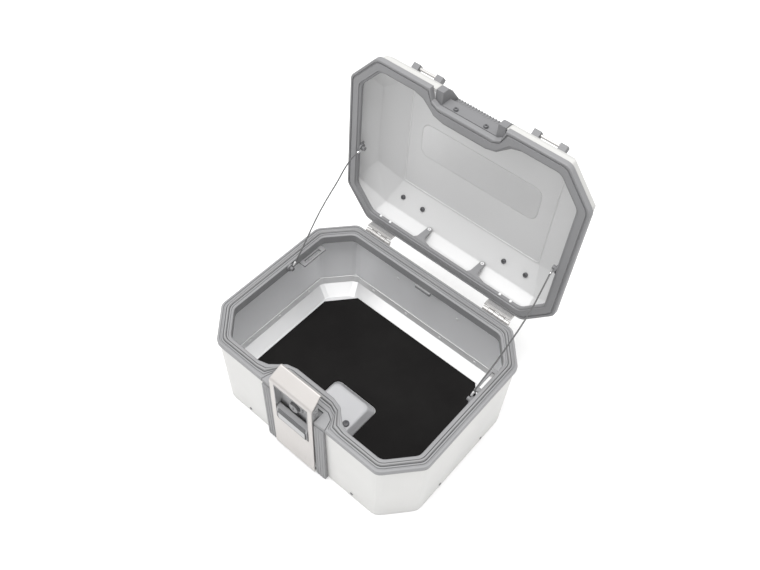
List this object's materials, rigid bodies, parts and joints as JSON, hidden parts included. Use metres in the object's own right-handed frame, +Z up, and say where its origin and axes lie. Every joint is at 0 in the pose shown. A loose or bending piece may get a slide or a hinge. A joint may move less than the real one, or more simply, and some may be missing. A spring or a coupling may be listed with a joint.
{
  "type": "motorcycle top case",
  "caption": "Aluminium motorcycle top case with an open hinged lid, grey plastic rims, a front latch tower, lid cables and a black floor mat.",
  "frame": {"origin": "middle of the flat underside of the lower half", "axes": "+Z up, +Y towards the lid hinges, -Y towards the latch, +X to the right seen from the latch side; the lid is open"},
  "size_m": [0.43, 0.4397, 0.5015],
  "materials": {
    "aluminium_skin": "satin",
    "pan_metal": "bright",
    "latch_steel": "brushed",
    "bright_steel": "polished",
    "grey_plastic": "matte",
    "light_grey_plastic": "matte",
    "dark_grey_plastic": "matte",
    "silver_plastic": "satin",
    "seal_rubber": "matte",
    "mat_rubber": "textured"
  },
  "bodies": {
    "base": {"base_shell": "aluminium_skin", "floor_pan": "pan_metal", "floor_mat": "mat_rubber", "base_seal": "seal_rubber", "lock_box_cover": "silver_plastic", "lock_box_screw": "dark_grey_plastic", "catch_guide_left": "dark_grey_plastic", "catch_guide_right": "dark_grey_plastic", "catch_spring_seat": "dark_grey_plastic", "catch_spring": "bright_steel", "latch_pin": "bright_steel", "hinge_base_left": "bright_steel", "hinge_base_right": "bright_steel", "hinge_pin_left": "latch_steel", "hinge_pin_right": "latch_steel", "cable_left": "latch_steel", "cable_right": "latch_steel", "base_rim": "grey_plastic", "rear_rim_clip": "grey_plastic", "strap_loop_left": "grey_plastic", "strap_loop_right": "grey_plastic", "cable_anchor_left": "grey_plastic", "cable_anchor_right": "grey_plastic", "latch_housing": "grey_plastic", "latch_surround": "grey_plastic", "latch_trim_left": "light_grey_plastic", "latch_trim_right": "light_grey_plastic"},
    "lid": {"lid_shell": "aluminium_skin", "lid_rim": "grey_plastic", "lid_latch_pocket": "grey_plastic", "pocket_screw_left": "dark_grey_plastic", "pocket_screw_right": "dark_grey_plastic", "lid_hook_left": "grey_plastic", "lid_hook_right": "grey_plastic", "cable_boss_left": "grey_plastic", "cable_boss_right": "grey_plastic", "hinge_lid_left": "bright_steel", "hinge_lid_right": "bright_steel", "rail_screw_front_left_inner": "dark_grey_plastic", "rail_screw_front_left_outer": "dark_grey_plastic", "rail_screw_front_right_inner": "dark_grey_plastic", "rail_screw_front_right_outer": "dark_grey_plastic", "rail_screw_rear_left_inner": "dark_grey_plastic", "rail_screw_rear_left_outer": "dark_grey_plastic", "rail_screw_rear_right_inner": "dark_grey_plastic", "rail_screw_rear_right_outer": "dark_grey_plastic", "rail_front_left": "grey_plastic", "rail_front_right": "grey_plastic", "rail_rear_left": "grey_plastic", "rail_rear_right": "grey_plastic"},
    "latch": {"latch_plate": "latch_steel", "latch_body": "grey_plastic"},
    "lever": {"pull_lever": "dark_grey_plastic", "name_plate": "bright_steel"},
    "lock": {"lock_cylinder": "bright_steel"},
    "catch": {"carrier_catch": "bright_steel"}
  },
  "joints": [
    {"name": "lid_hinge", "type": "hinge", "parent": "base", "child": "lid", "pos_m": [0, 0.176, 0.1595], "axis": [1, 0, 0], "range_deg": [0, 91.9], "deforming": ["cable_left", "cable_right"]},
    {"name": "latch_tilt", "type": "hinge", "parent": "base", "child": "latch", "pos_m": [0, -0.169, 0.0075], "axis": [1, 0, 0], "range_deg": [-3, 0], "stiffness_Nm_per_rad": 0.6, "springref_deg": 8.59},
    {"name": "lever_pull", "type": "hinge", "parent": "latch", "child": "lever", "pos_m": [0, -0.166, 0.1], "axis": [1, 0, 0], "range_deg": [0, 25], "stiffness_Nm_per_rad": 0.1, "springref_deg": -11.46},
    {"name": "lock_turn", "type": "hinge", "parent": "latch", "child": "lock", "pos_m": [0, -0.164, 0.152], "axis": [0, 1, 0], "range_deg": [0, 90]},
    {"name": "catch_slide", "type": "slide", "parent": "base", "child": "catch", "axis": [0, 1, 0], "range_m": [0, 0.008], "stiffness_N_per_m": 300, "springref_m": -0.01, "deforming": ["catch_spring"]}
  ]
}
